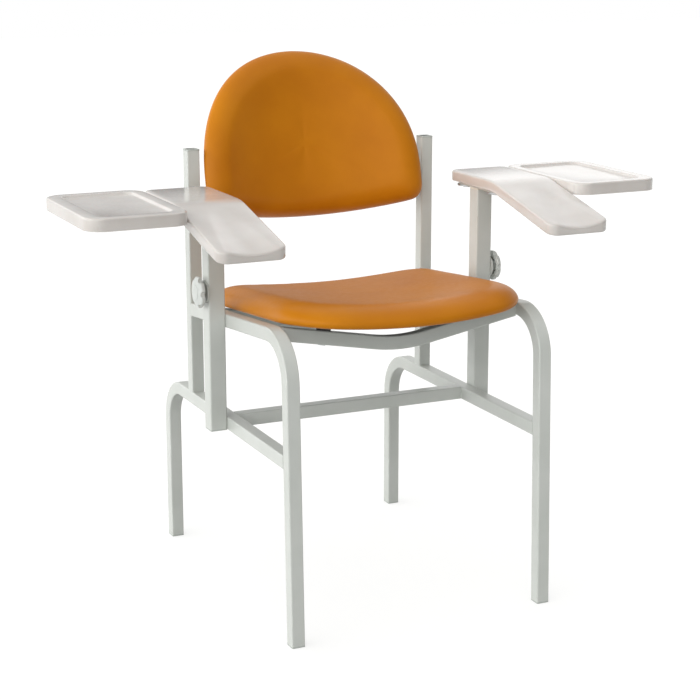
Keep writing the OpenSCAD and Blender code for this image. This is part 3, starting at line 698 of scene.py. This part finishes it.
@dataclass
class ForearmRest:
    """One moulded forearm rest: level at the back, falling to the front, with a hollow."""

    finishes: Finishes
    side: Side
    inner: float = 254 * MM
    width: float = 127 * MM
    front: float = along(18)
    back: float = along(409)
    knee: float = along(232)
    knee_reach: float = 22 * MM
    knee_loops: int = 11
    top: float = 766 * MM
    thickness: float = 20 * MM
    fall: float = 13.4
    corner: float = 20 * MM
    edge: float = 4 * MM
    lower_edge: float = 2.5 * MM
    hollow_radius: float = 150 * MM
    hollow_place: float = along(205)
    hollow_depth: float = 7 * MM
    hollow_soft: float = 0.9 * MM
    still: float = 5 * MM  # over the underside, this much keeps its place
    fading: float = 13 * MM  # and over this much the hollow comes to its full depth
    deepest: float = 10 * MM
    loops: Pair = (4.6 * MM, 7 * MM)  # across and along, where the hollow bends
    first_loop: float = 3 * MM
    half_across: int = 11  # loops on either side of the middle
    lengthways: int = 30
    spare: float = 30 * MM

    def bent(self, y: float, z: float) -> Pair:
        """Where a point of the straight rest comes to lie once its knee is bent.

        Args:
            y: The point's Y on the straight rest.
            z: The point's Z.

        Returns:
            Its Y and Z on the bent rest.
        """
        fall = math.radians(self.fall)
        radius = self.knee_reach / math.tan(fall / 2)
        start = self.knee + self.knee_reach
        run = start - y
        if run <= 0:
            return y, z
        turn = min(run / radius, fall)
        past = max(run - radius * fall, 0)
        arm = radius + z - self.top
        return (start - arm * math.sin(turn) - past * math.cos(turn),
                self.top - radius + arm * math.cos(turn) - past * math.sin(turn))

    def depth_at(self, x: float, y: float) -> float:
        """How deep the hollow is at a place in plan.

        Args:
            x: The place's X.
            y: The place's Y.

        Returns:
            The depth in metres, with a soft start at the hollow's border.
        """
        middle = self.side.value * (self.inner + self.width / 2)
        deep = self.hollow_depth * (self.hollow_place - y) / (self.hollow_place - self.front)
        rise = self.hollow_radius - math.sqrt(
            max(self.hollow_radius ** 2 - (x - middle) ** 2, 0))
        gap = deep - rise
        return (gap + math.hypot(gap, self.hollow_soft)) / 2

    def weight_hollow(self, rest: Object) -> None:
        """Marks how far each point goes down with the hollow, as a vertex group.

        Args:
            rest: The rest before its hollow.
        """
        group = rest.vertex_groups.new(name="hollow")
        slope = math.tan(math.radians(self.fall))
        for point in rest.data.vertices:
            surface = self.top - max(self.knee - point.co.y, 0) * slope
            over = point.co.z - (surface - self.thickness)
            share = within_one((over - self.still) / self.fading)
            depth = self.depth_at(point.co.x, point.co.y)
            if share > 0 and depth > 0:
                group.add([point.index], min(depth * share / self.deepest, 1), "REPLACE")

    def one(self) -> Object:
        """Models the rest."""
        xs = self.side.span(self.inner, self.inner + self.width)
        reach = (self.knee - self.front) / math.cos(math.radians(self.fall)) + self.spare
        rest = block(f"{self.side.word}_forearm_rest_moulding",
                     (xs[0], self.knee - reach, self.top - self.thickness),
                     (xs[1], self.back, self.top))
        begin_edit(rest)
        slice_across(1, [self.knee + self.knee_reach * (1 - 2 * i / (self.knee_loops - 1))
                         for i in range(self.knee_loops)])
        end_edit()
        for point in rest.data.vertices:
            point.co.y, point.co.z = self.bent(point.co.y, point.co.z)
        begin_edit(rest)
        bpy.ops.mesh.select_all(action="SELECT")
        bpy.ops.mesh.bisect(plane_co=(0, self.front, 0), plane_no=(0, 1, 0),
                            use_fill=True, clear_inner=True)
        bevel_where(lambda e: is_upright_edge(e) and min(
            abs(e.verts[0].co.y - end) for end in (self.front, self.back)) < SAME_PLACE,
            self.corner, 10)
        bevel_where(rim_edges(1), self.edge, 5)
        bevel_where(rim_edges(-1), self.lower_edge, 3)
        middle = (xs[0] + xs[1]) / 2
        slice_across(0, [middle + i * self.loops[0]
                         for i in range(-self.half_across, self.half_across + 1)])
        slice_across(1, [self.front + self.first_loop + i * self.loops[1]
                         for i in range(self.lengthways)])
        end_edit()
        self.weight_hollow(rest)
        apply_modifier(rest, "DISPLACE", direction="Z", mid_level=0.0,
                       strength=-self.deepest, vertex_group="hollow")
        rest.vertex_groups.clear()
        shade(rest, 40)
        return rest

    def build(self) -> None:
        """Models the rest and fits it to its arm."""
        fit(self.one(), f"{self.side.word}_arm_assembly", self.finishes.abs_white,
            "arm_plastic", f"{self.side.word}_forearm_rest")


@dataclass
class SideTray:
    """One moulded tray: a rimmed recess above and a ribbed hollow below."""

    finishes: Finishes
    side: Side
    inner: float = 382 * MM
    width: float = 184 * MM
    back: float = along(421)
    length: float = 286 * MM
    top: float = 766 * MM
    depth: float = 22.5 * MM
    corner: float = 34 * MM
    edge: float = 3.5 * MM
    wall: float = 5 * MM
    rim_inner: float = 22 * MM
    rim_outer: float = 25 * MM
    rim_back: float = 19 * MM
    rim_front: float = 23 * MM
    recess: float = 4.5 * MM
    panel: float = 4.5 * MM
    boss: float = 9 * MM
    strap_places: Pair = (along(262), along(356))
    strap_half: float = 15.3 * MM
    boss_places: Pair = (435 * MM, 485 * MM)
    boss_foot: float = 746 * MM
    notch_top: float = 746.3 * MM
    first_inset: float = 11 * MM
    slope: float = 3.4 * MM
    floor_edge: float = 2.2 * MM
    inner_edge: float = 1.6 * MM
    slack: float = 2 * MM

    def shell(self) -> Object:
        """Models the tray's shell with its recess and its hollow underside."""
        xs = self.side.span(self.inner, self.inner + self.width)
        front = self.back - self.length
        tray = block(f"{self.side.word}_tray_moulding", (xs[0], front, self.top - self.depth),
                     (xs[1], self.back, self.top))
        begin_edit(tray)
        bevel_where(is_upright_edge, self.corner, 10)
        select_where(Part.FACE, looks(2, 1))
        bpy.ops.mesh.inset(thickness=self.first_inset, depth=0)
        wide = self.width - self.rim_inner - self.rim_outer
        long = self.length - self.rim_back - self.rim_front
        middle_x, middle_y = (xs[0] + xs[1]) / 2, (front + self.back) / 2
        bpy.ops.transform.resize(
            value=(wide / (self.width - 2 * self.first_inset),
                   long / (self.length - 2 * self.first_inset), 1),
            center_override=(middle_x, middle_y, self.top))
        bpy.ops.transform.translate(value=(
            self.side.value * (self.rim_inner - self.rim_outer) / 2,
            self.back - self.rim_back - long / 2 - middle_y, 0))
        bpy.ops.mesh.inset(thickness=self.slope, depth=-self.recess)
        # per row: the edges' height, the least and most rise of a face beside them, the bevel
        for height, least, most, width, segments in (
                (self.top - self.recess, -0.98, 0.98, self.floor_edge, 4),
                (self.top, 0.05, 0.97, self.inner_edge, 3),
                (self.top, -0.05, 0.05, self.edge, 5)):
            bevel_where(lambda e: all(abs(v.co.z - height) < SAME_PLACE for v in e.verts)
                        and any(least < f.normal.z < most for f in e.link_faces),
                        width, segments)
        select_where(Part.FACE, looks(2, -1))
        bpy.ops.mesh.inset(thickness=self.wall, depth=0)
        bpy.ops.mesh.extrude_region_move(TRANSFORM_OT_translate={
            "value": (0, 0, self.depth - self.recess - self.panel)})
        end_edit()
        return tray

    def notch(self, tray: Object, place: float) -> None:
        """Cuts the notch where a strap passes through the skirt.

        Args:
            tray: The tray's shell.
            place: The strap's Y.
        """
        xs = self.side.span(self.inner - self.slack, self.inner + self.wall + self.slack / 2)
        cut_away(tray, block(
            "notch_cutter", (xs[0], place - self.strap_half, self.top - self.depth - self.slack),
            (xs[1], place + self.strap_half, self.notch_top)))

    def build(self) -> None:
        """Models the tray and fits it to its arm."""
        tray = self.shell()
        for place in self.strap_places:
            self.notch(tray, place)
        ceiling = self.top - self.recess - self.panel / 2
        middle = (self.boss_foot + ceiling) / 2
        for place in self.strap_places:
            for reach in self.boss_places:
                post = drum("boss", (self.side.value * reach, place, middle),
                            self.boss, ceiling - self.boss_foot)
                cut_away(tray, post, "UNION")
        shade(tray)
        fit(tray, f"{self.side.word}_arm_assembly", self.finishes.abs_white, "arm_plastic",
            f"{self.side.word}_tray")


@dataclass
class ClampKnob:
    """One lobed clamp knob: a crowned cup with a hub, its hollow towards the post."""

    finishes: Finishes
    side: Side
    radius: float = 29 * MM
    thickness: float = 12 * MM
    crown: float = 6 * MM
    foot: float = 304.5 * MM
    axis_y: float = along(320.25)
    axis_z: float = 585 * MM
    lobes: int = 6
    scallop: float = 7 * MM
    bite: float = 5 * MM
    rim: float = 6 * MM
    web: float = 5 * MM
    hub: float = 11 * MM
    hub_short: float = 1 * MM
    stud: float = 4 * MM
    stud_depth: float = 7 * MM
    groove: float = 15 * MM
    rings: int = 10
    rim_bevel: float = 2.4 * MM
    foot_bevel: float = 0.9 * MM
    groove_width: float = 0.7 * MM
    edge: float = 0.5 * MM
    sharp: float = math.radians(50)
    slack: float = 2 * MM

    def bar(self, name: str, start: float, end: float, radius: float, sides: int,
            up: float = 0, aside: float = 0) -> Object:
        """Adds a round bar along the knob's axis or parallel to it.

        Args:
            name: The object's name.
            start: Where it starts, in metres out from the knob's foot.
            end: Where it ends.
            radius: Its radius.
            sides: The number of faces round it.
            up: How far it lies over the axis.
            aside: How far it lies behind the axis.

        Returns:
            The bar.
        """
        centre = (self.side.value * (self.foot + (start + end) / 2),
                  self.axis_y + aside, self.axis_z + up)
        return drum(name, centre, radius, end - start, (1, 0, 0), sides)

    def rise(self, reach: float) -> float:
        """How high the crowned face stands over its rim at a distance from the axis."""
        ball = (self.radius ** 2 + self.crown ** 2) / (2 * self.crown)
        return math.sqrt(ball ** 2 - reach ** 2) - math.sqrt(ball ** 2 - self.radius ** 2)

    def crowned(self) -> Object:
        """Models the disc with its crowned face, a groove round the middle and scallops."""
        side, collar = self.side.value, self.thickness - self.crown
        knob = self.bar(f"{self.side.word}_clamp_knob", 0, collar, self.radius, 96)
        begin_edit(knob)
        select_where(Part.FACE, looks(0, side))
        reach = self.radius
        for ring in range(self.rings - 1, 0, -1):
            inner = self.radius * ring / self.rings
            bpy.ops.mesh.inset(thickness=reach - inner, depth=0)
            bpy.ops.transform.translate(
                value=(side * (self.rise(inner) - self.rise(reach)), 0, 0))
            reach = inner
        for height, width in ((collar, self.rim_bevel), (0, self.foot_bevel)):
            bevel_where(lambda e: all(
                abs(v.co.x * side - self.foot - height) < SAME_PLACE for v in e.verts)
                and e.calc_face_angle(0) > self.sharp, width, 5)
        end_edit()
        deselect_all()
        bpy.ops.mesh.primitive_torus_add(
            location=(side * (self.foot + collar + self.rise(self.groove)), self.axis_y,
                      self.axis_z),
            rotation=(0, math.radians(90), 0), major_segments=72, minor_segments=12,
            major_radius=self.groove, minor_radius=self.groove_width)
        cut_away(knob, bpy.context.active_object)
        out = self.radius + self.scallop - self.bite
        for i in range(self.lobes):
            angle = (i + 0.5) * math.tau / self.lobes
            cut_away(knob, self.bar(
                "scallop", -2 * self.slack, self.thickness + 2 * self.slack, self.scallop, 48,
                -out * math.cos(angle), out * math.sin(angle)))
        apply_modifier(knob, "BEVEL", width=self.edge, segments=2, limit_method="ANGLE",
                       angle_limit=self.sharp)
        return knob

    def build(self) -> None:
        """Models the knob and fits it to its screw."""
        knob = self.crowned()
        deep = self.thickness - self.web
        hollow = self.bar("hollow", -self.slack, deep, self.radius - self.bite - self.rim, 72)
        cut_away(hollow, self.bar(
            "hub", self.hub_short, self.hub_short + deep + 2 * self.slack, self.hub, 48))
        cut_away(knob, hollow)
        cut_away(knob, self.bar("stud_hole", -self.slack / 2, self.stud_depth, self.stud, 32))
        shade(knob, 32)
        fit(knob, f"{self.side.word}_clamp_screw", self.finishes.knob, "knob_plastic",
            f"{self.side.word}_knob")


COVER_CLOTH = {"use_pressure": True, "uniform_pressure_force": 2.0, "quality": 5, "mass": 0.3,
               "tension_stiffness": 15, "compression_stiffness": 15, "bending_stiffness": 30.0}


@dataclass
class Cushion:
    """One foam cushion in its stretched vinyl cover, swollen by a cloth simulation."""

    finishes: Finishes
    node: str
    grow: float
    toward_board: Vector
    cap: float = 3 * MM
    fill: float = 0.85
    welded: float = 0.01 * MM
    underside: Pair = (0.98, 0.2)  # a normal's lean there, and its fading
    face_share: float = 0.05  # of the growth, what the cushion's face gets
    stapled: Pair = (0.35, 0.3)  # the lean where pins start, and their fading
    frames: int = 20
    evening: int = 40

    def copy_of_node(self) -> Object:
        """Copies the CAD solid's skin with its doubles merged and its triangles paired."""
        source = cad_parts[self.node]
        skin = source.data.copy()
        cover = bpy.data.objects.new(f"{self.node}_cover", skin)
        bpy.context.scene.collection.objects.link(cover)
        skin.name = cover.name
        begin_edit(cover)
        bpy.ops.mesh.select_all(action="SELECT")
        bpy.ops.mesh.remove_doubles(threshold=self.welded)
        bpy.ops.mesh.customdata_custom_splitnormals_clear()
        bpy.ops.mesh.tris_convert_to_quads(
            face_threshold=math.radians(50), shape_threshold=math.radians(60))
        end_edit()
        return cover

    def fill_out(self, cover: Object) -> None:
        """Gives the sides back what smoothing takes, and leaves the face and the board side.

        Args:
            cover: The subdivided cover.
        """
        sides = cover.vertex_groups.new(name="sides")
        for point in cover.data.vertices:
            lean = point.normal.dot(self.toward_board)
            share = within_one((self.underside[0] - lean) / self.underside[1])
            share *= 1 - (1 - self.face_share) * max(-lean, 0)
            sides.add([point.index], share, "REPLACE")
        apply_modifier(cover, "DISPLACE", direction="NORMAL", mid_level=0.0,
                       strength=self.grow, vertex_group="sides")
        cover.vertex_groups.clear()

    def evened(self, cover: Object, amounts: list[float]) -> list[float]:
        """Evens out one number per point over the points beside it.

        Args:
            cover: The cover whose edges say which points lie side by side.
            amounts: One number per point.

        Returns:
            The evened numbers.
        """
        pairs = [tuple(edge.vertices) for edge in cover.data.edges]
        counts = [0] * len(amounts)
        for one, other in pairs:
            counts[one] += 1
            counts[other] += 1
        for _ in range(self.evening):
            sums = [0.0] * len(amounts)
            for one, other in pairs:
                sums[one] += amounts[other]
                sums[other] += amounts[one]
            amounts = [(amount + total / max(count, 1)) / 2
                       for amount, total, count in zip(amounts, sums, counts)]
        return amounts

    def swell(self, cover: Object) -> None:
        """Blows the cover up with cloth pressure and keeps the even part of the swelling.

        Args:
            cover: The subdivided cover.
        """
        rest = [(point.co.copy(), point.normal.copy()) for point in cover.data.vertices]
        pins = cover.vertex_groups.new(name="stapled")
        for point in cover.data.vertices:
            lean = point.normal.dot(self.toward_board)
            if lean > self.stapled[0]:
                pins.add([point.index], within_one((lean - self.stapled[0]) / self.stapled[1]),
                         "REPLACE")
        make_active(cover)
        cloth = cover.modifiers.new("Cover", "CLOTH")
        for key, value in COVER_CLOTH.items():
            setattr(cloth.settings, key, value)
        cloth.settings.effector_weights.gravity = 0
        cloth.settings.vertex_group_mass = pins.name
        cloth.collision_settings.use_collision = False
        cloth.point_cache.frame_start = 1
        cloth.point_cache.frame_end = self.frames
        scene = bpy.context.scene
        for number in range(1, self.frames + 1):
            scene.frame_set(number)
        bpy.ops.object.modifier_apply(modifier=cloth.name)
        scene.frame_set(1)
        risen = [min(max((point.co - start).dot(out), 0), self.cap)
                 for point, (start, out) in zip(cover.data.vertices, rest)]
        for point, (start, out), amount in zip(
                cover.data.vertices, rest, self.evened(cover, risen)):
            point.co = start + out * amount
        cover.vertex_groups.clear()

    def build(self) -> None:
        """Makes the cover and fits it to the frame."""
        cover = self.copy_of_node()
        apply_modifier(cover, "SUBSURF", levels=2, render_levels=2)
        self.fill_out(cover)
        self.swell(cover)
        apply_modifier(cover, "SMOOTH", factor=0.5, iterations=4)
        make_active(cover)
        bpy.ops.object.shade_smooth()
        fit(cover, "chair_frame", self.finishes.vinyl, "vinyl", self.node)


# -------- the studio


Levels = tuple[Pair, ...]


@dataclass
class Studio:
    """The pale floor, the light tent and the camera at the photograph's angle.

    The tent has a skirt near the floor, walls over it and a roof. Skirt and walls are given as
    (degrees from straight behind the chair towards +X, level): the key light fills the left
    and the front left, and a panel behind on the right is what the right arm mirrors.
    """

    skirt: Levels = (
        (-180, 0.5), (-165, 0.75), (-135, 2.0), (-105, 2.9), (-75, 2.9), (-45, 1.9),
        (-12, 0.5), (10, 0.15), (26, 0.15), (33, 0.9), (60, 0.6), (92, 0.4), (127, 0.15),
        (162, 0.25), (180, 0.5))
    walls: Levels = (
        (-180, 1.0), (-165, 1.3), (-135, 2.3), (-105, 2.9), (-75, 2.9), (-45, 2.2),
        (-12, 1.3), (10, 0.75), (20, 0.5), (25, 0.55), (29, 1.5), (42, 1.2), (60, 0.8),
        (92, 0.4), (127, 0.2), (162, 0.4), (180, 1.0))
    roof: float = 0.9
    skirt_to_walls: Pair = (0.02, 0.15)
    walls_to_roof: Pair = (0.5, 0.7)
    brightest: float = 3.0
    floor_size: float = 30.0
    floor_shade: str = "#a8a8a6"
    floor_glow: float = 0.67
    eye: tuple[float, float, float] = (-1.38205, -2.99527, 1.25958)
    look: tuple[float, float, float] = (0.4073, 0.8810, -0.2407)
    focal_mm: float = 90.70

    def rays(self, tree: NodeTree, kinds: Sequence[str]) -> NodeSocket:
        """Adds the light-path nodes that tell some kinds of ray from the rest.

        Args:
            tree: The node tree of the floor or the world.
            kinds: Names of the Light Path node's outputs.

        Returns:
            A socket that is 1 for those rays and 0 for the light on the chair.
        """
        path = add_node(tree, "ShaderNodeLightPath")
        seen = path.outputs[kinds[0]]
        for kind in kinds[1:]:
            either = add_node(tree, "ShaderNodeMath", {0: seen, 1: path.outputs[kind]},
                              operation="MAXIMUM")
            seen = either.outputs["Value"]
        return seen

    def floor(self) -> None:
        """Lays the floor: white with the chair's faint shadow to the eye, matt to the chair."""
        deselect_all()
        bpy.ops.mesh.primitive_plane_add(size=self.floor_size, location=(0, 0, 0))
        ground = bpy.context.active_object
        ground.name = "studio_floor"
        material = bpy.data.materials.new("pale_floor")
        tree = emptied(material)
        seen = self.rays(tree, ("Is Camera Ray", "Is Glossy Ray", "Is Transmission Ray"))
        matte = add_node(tree, "ShaderNodeBsdfDiffuse", {"Color": linear(self.floor_shade)})
        glow = add_node(tree, "ShaderNodeEmission", {"Color": WHITE, "Strength": self.floor_glow})
        both = add_node(tree, "ShaderNodeAddShader", {
            0: matte.outputs["BSDF"], 1: glow.outputs["Emission"]})
        mix = add_node(tree, "ShaderNodeMixShader", {
            "Fac": seen, 1: matte.outputs["BSDF"], 2: both.outputs["Shader"]})
        add_node(tree, "ShaderNodeOutputMaterial", {"Surface": mix.outputs["Shader"]})
        dress(ground, material)

    def round_the_chair(self, tree: NodeTree, turn: NodeSocket, levels: Levels) -> NodeSocket:
        """Adds a ramp of light levels by direction round the chair.

        Args:
            tree: The world's node tree.
            turn: The direction, 0 to 1.
            levels: Pairs of degrees and level.

        Returns:
            The ramp's colour socket.
        """
        node = add_node(tree, "ShaderNodeValToRGB", {"Fac": turn})
        ramp = node.color_ramp
        ramp.elements.remove(ramp.elements[1])
        for number, (degrees, level) in enumerate(levels):
            place = (degrees + 180) / 360
            stop = ramp.elements[0] if number == 0 else ramp.elements.new(place)
            stop.position = place
            stop.color = (level / self.brightest,) * 3 + (1,)
        return node.outputs["Color"]

    def sky(self) -> None:
        """Sets the light tent round the chair, plain white where the camera sees it."""
        world = bpy.data.worlds.new("light_tent")
        bpy.context.scene.world = world
        tree = emptied(world)
        way = add_node(tree, "ShaderNodeTexCoord").outputs["Generated"]
        parts = add_node(tree, "ShaderNodeSeparateXYZ", {"Vector": way})
        turn = add_node(tree, "ShaderNodeMath", {
            0: parts.outputs["X"], 1: parts.outputs["Y"]}, operation="ARCTAN2")
        share = add_node(tree, "ShaderNodeMapRange", {
            "Value": turn.outputs["Value"], "From Min": -math.pi, "From Max": math.pi})
        skirt = self.round_the_chair(tree, share.outputs["Result"], self.skirt)
        walls = self.round_the_chair(tree, share.outputs["Result"], self.walls)
        level = skirt
        for (start, end), upper in (
                (self.skirt_to_walls, walls),
                (self.walls_to_roof, (self.roof / self.brightest,) * 3 + (1,))):
            blend = add_node(tree, "ShaderNodeMapRange", {
                "Value": parts.outputs["Z"], "From Min": start, "From Max": end},
                interpolation_type="SMOOTHSTEP")
            mixed = add_node(tree, "ShaderNodeMix", {
                0: blend.outputs["Result"], 6: level, 7: upper}, data_type="RGBA")
            level = mixed.outputs[2]
        soft = add_node(tree, "ShaderNodeBackground", {"Color": level, "Strength": self.brightest})
        white = add_node(tree, "ShaderNodeBackground", {"Color": WHITE, "Strength": 1.0})
        mix = add_node(tree, "ShaderNodeMixShader", {
            "Fac": self.rays(tree, ("Is Camera Ray", "Is Transmission Ray")),
            1: soft.outputs["Background"], 2: white.outputs["Background"]})
        add_node(tree, "ShaderNodeOutputWorld", {"Surface": mix.outputs["Shader"]})

    def camera(self) -> None:
        """Puts the camera where the photograph was taken from."""
        data = bpy.data.cameras.new("photo_camera")
        data.sensor_width = 36.0
        data.lens = self.focal_mm
        data.clip_end = 100.0
        eye = bpy.data.objects.new("photo_camera", data)
        bpy.context.scene.collection.objects.link(eye)
        eye.location = self.eye
        eye.rotation_euler = Vector(self.look).to_track_quat("-Z", "Y").to_euler()
        bpy.context.scene.camera = eye

    def build(self) -> None:
        """Sets up the floor, the light and the camera."""
        self.floor()
        self.sky()
        self.camera()
        bpy.context.scene.view_settings.view_transform = "Standard"


def main() -> None:
    """Builds the studio and dresses the chair, piece by piece."""
    logging.basicConfig(level=logging.INFO, format="%(name)s: %(message)s")
    Studio().build()
    finishes = Finishes()
    WeldedFrame(finishes).dress_all()
    UprightCaps(finishes).build()
    for side in Side:
        ForearmRest(finishes, side).build()
        SideTray(finishes, side).build()
        ClampKnob(finishes, side).build()
    Cushion(finishes, "seat_cushion", 2.8 * MM, Vector((0, -0.09, -1))).build()
    Cushion(finishes, "back_cushion", 2.5 * MM, Vector((0, 1, 0))).build()


if __name__ == "__main__":
    main()
